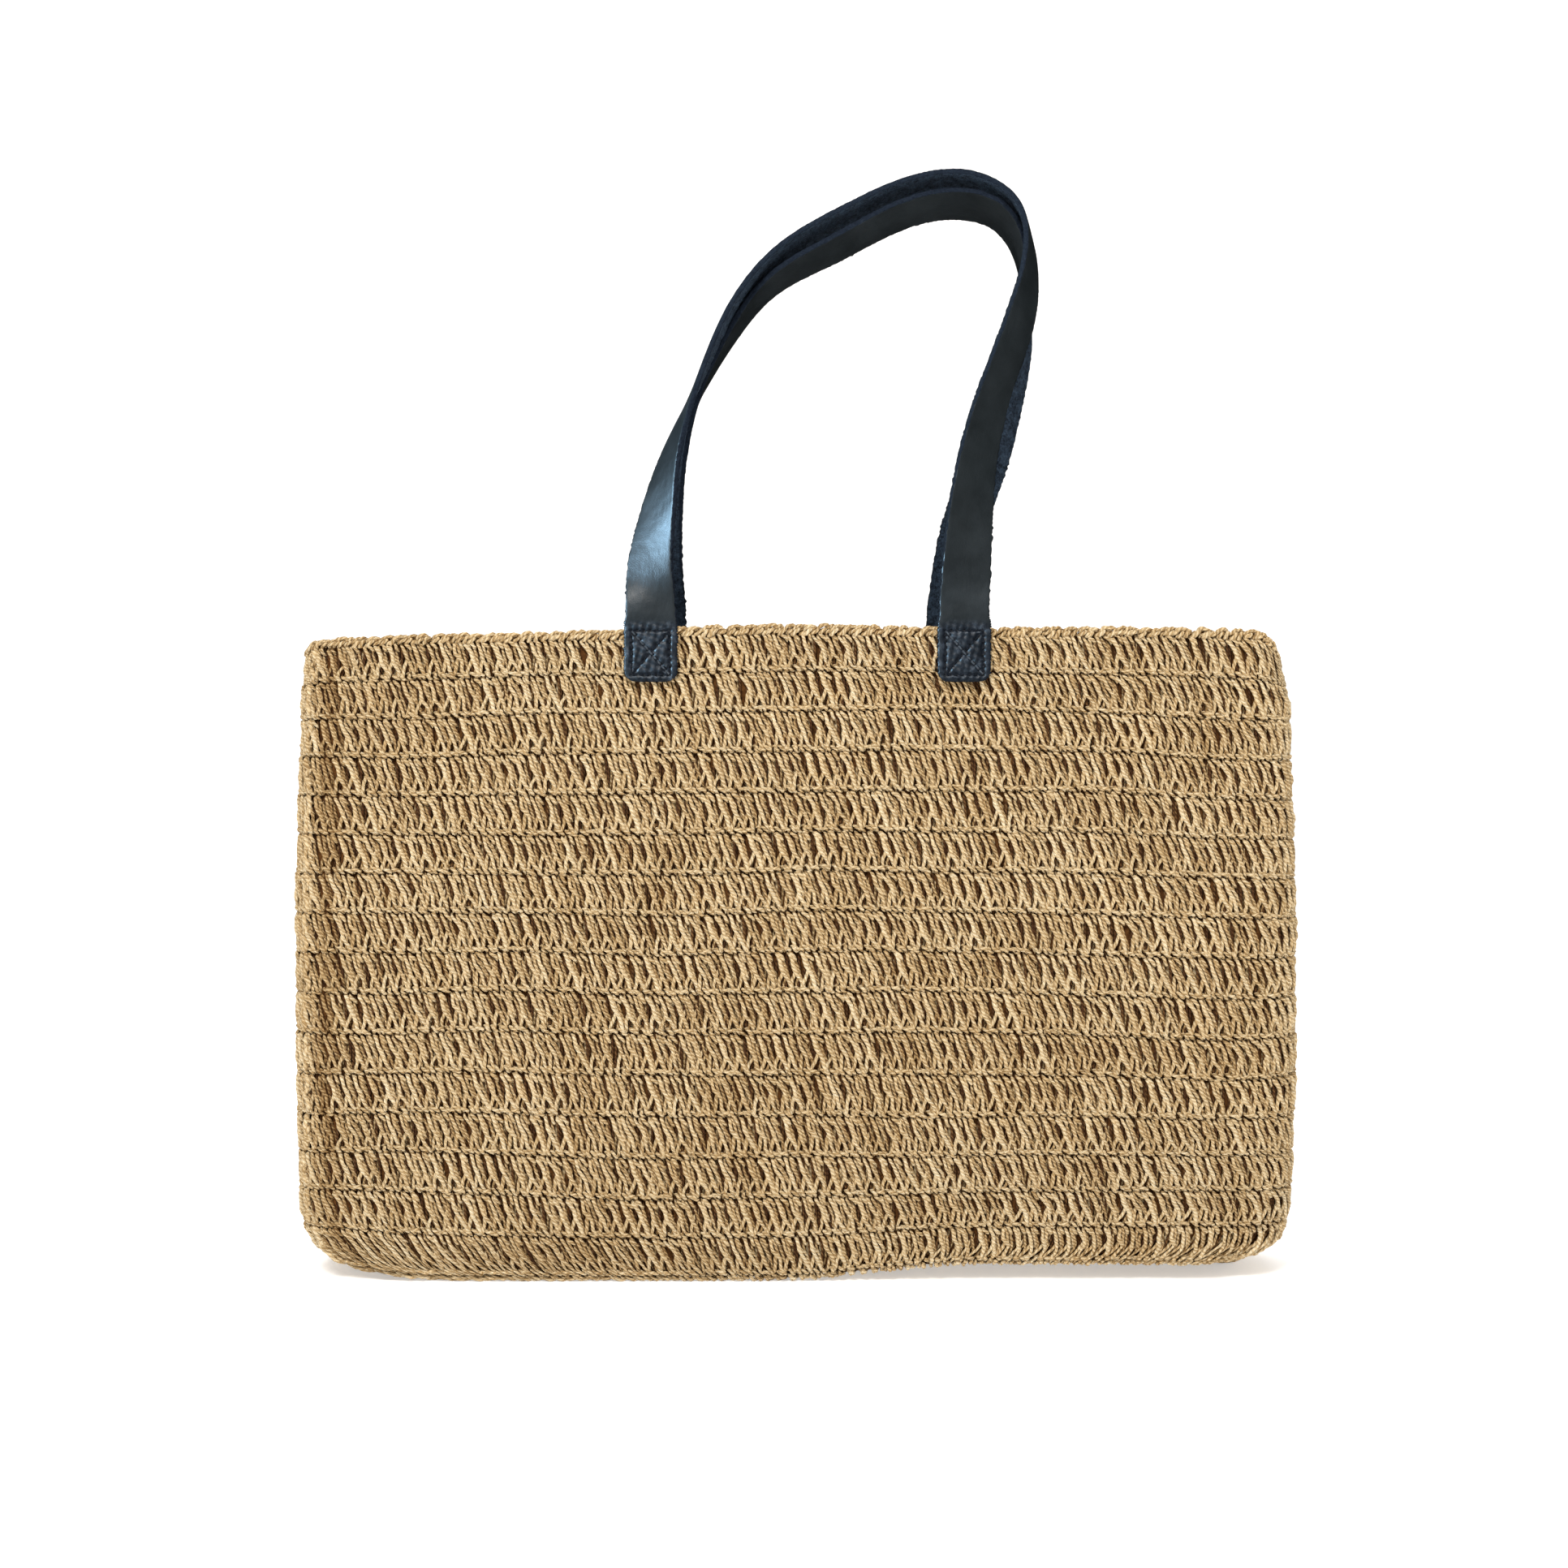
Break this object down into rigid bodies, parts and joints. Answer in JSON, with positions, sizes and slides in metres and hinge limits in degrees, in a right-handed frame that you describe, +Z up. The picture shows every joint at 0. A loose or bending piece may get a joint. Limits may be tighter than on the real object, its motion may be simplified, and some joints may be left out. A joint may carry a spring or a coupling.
{
  "type": "beach bag",
  "caption": "Flat crocheted straw beach tote, open at the top, with leather strap handles whose sewn ends are box stitched and whose loops flop to front and rear.",
  "frame": {"origin": "middle of the base, on the ground", "axes": "+Z up out of the bag's mouth, +Y to the rear, X along the bag"},
  "size_m": [0.506, 0.074, 0.5594],
  "materials": {
    "straw": "matte",
    "strap_leather": "satin",
    "patch_leather": "matte",
    "sewing_thread": "satin"
  },
  "bodies": {
    "bag": {"front_panel": "straw", "rear_panel": "straw", "left_side": "straw", "right_side": "straw", "base_panel": "straw", "rim_round": "straw", "front_left_strap_end": "strap_leather", "front_right_strap_end": "strap_leather", "rear_left_strap_end": "strap_leather", "rear_right_strap_end": "strap_leather", "front_left_backing_patch": "patch_leather", "front_right_backing_patch": "patch_leather", "rear_left_backing_patch": "patch_leather", "rear_right_backing_patch": "patch_leather", "front_left_box_seam": "sewing_thread", "front_right_box_seam": "sewing_thread", "rear_left_box_seam": "sewing_thread", "rear_right_box_seam": "sewing_thread"},
    "front_handle": {"front_handle_loop": "strap_leather"},
    "rear_handle": {"rear_handle_loop": "strap_leather"}
  },
  "joints": [
    {"name": "front_handle_flop", "type": "hinge", "parent": "bag", "child": "front_handle", "pos_m": [0, -0.0315, 0.331], "axis": [1, 0, 0], "range_deg": [0, 165]},
    {"name": "rear_handle_flop", "type": "hinge", "parent": "bag", "child": "rear_handle", "pos_m": [0, 0.0315, 0.331], "axis": [-1, 0, 0], "range_deg": [0, 165]}
  ]
}
